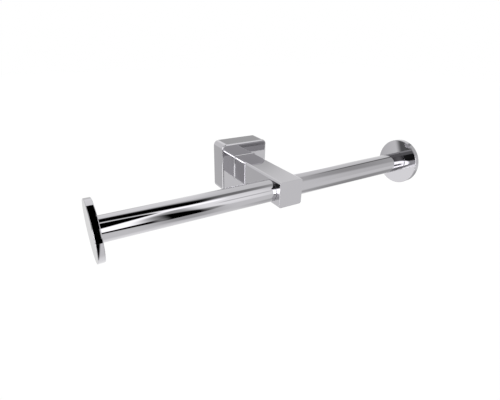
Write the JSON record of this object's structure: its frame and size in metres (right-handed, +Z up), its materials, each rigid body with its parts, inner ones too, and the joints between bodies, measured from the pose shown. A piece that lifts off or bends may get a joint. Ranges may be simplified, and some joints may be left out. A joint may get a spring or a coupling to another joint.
{
  "type": "double toilet roll holder",
  "caption": "Wall-mounted chrome holder for two toilet rolls: a square rose and arm carry a round cross bar, with a disc cap that unscrews from each end.",
  "frame": {"origin": "middle of the wall face, at the centre of the rose's back", "axes": "+X along the cross bar, +Y into the wall, +Z up"},
  "size_m": [0.31, 0.105, 0.049],
  "materials": {
    "chrome": "polished chrome plate",
    "cast_zinc": "as-cast zinc alloy",
    "plated_steel": "bright zinc plate",
    "brass": "turned brass",
    "rubber": "moulded rubber"
  },
  "bodies": {
    "holder": {"wall_bracket": "cast_zinc", "rose": "chrome", "grub_screw": "plated_steel", "arm": "chrome", "arm_bolt": "plated_steel", "arm_washer": "plated_steel", "arm_spring_washer": "plated_steel", "cross_stud": "plated_steel", "left_tube": "chrome", "left_inner_insert": "brass", "left_outer_insert": "brass", "right_tube": "chrome", "right_inner_insert": "brass", "right_outer_insert": "brass"},
    "left_ring": {"left_cap_ring": "rubber"},
    "left_cap": {"left_cap": "chrome", "left_cap_screw": "plated_steel"},
    "right_ring": {"right_cap_ring": "rubber"},
    "right_cap": {"right_cap": "chrome", "right_cap_screw": "plated_steel"}
  },
  "joints": [
    {"name": "left_cap_travel", "type": "slide", "parent": "holder", "child": "left_ring", "axis": [-1, 0, 0], "range_m": [0, 0.008]},
    {"name": "left_cap_turn", "type": "hinge", "parent": "left_ring", "child": "left_cap", "pos_m": [-0.15, -0.0825, 0], "axis": [-1, 0, 0], "range_deg": [0, 2880]},
    {"name": "right_cap_travel", "type": "slide", "parent": "holder", "child": "right_ring", "axis": [1, 0, 0], "range_m": [0, 0.008]},
    {"name": "right_cap_turn", "type": "hinge", "parent": "right_ring", "child": "right_cap", "pos_m": [0.15, -0.0825, 0], "axis": [1, 0, 0], "range_deg": [0, 2880]}
  ],
  "couplings": [
    {"joint": "left_cap_travel", "follows": "left_cap_turn", "m_per_rad": 0.00015915},
    {"joint": "right_cap_travel", "follows": "right_cap_turn", "m_per_rad": 0.00015915}
  ]
}
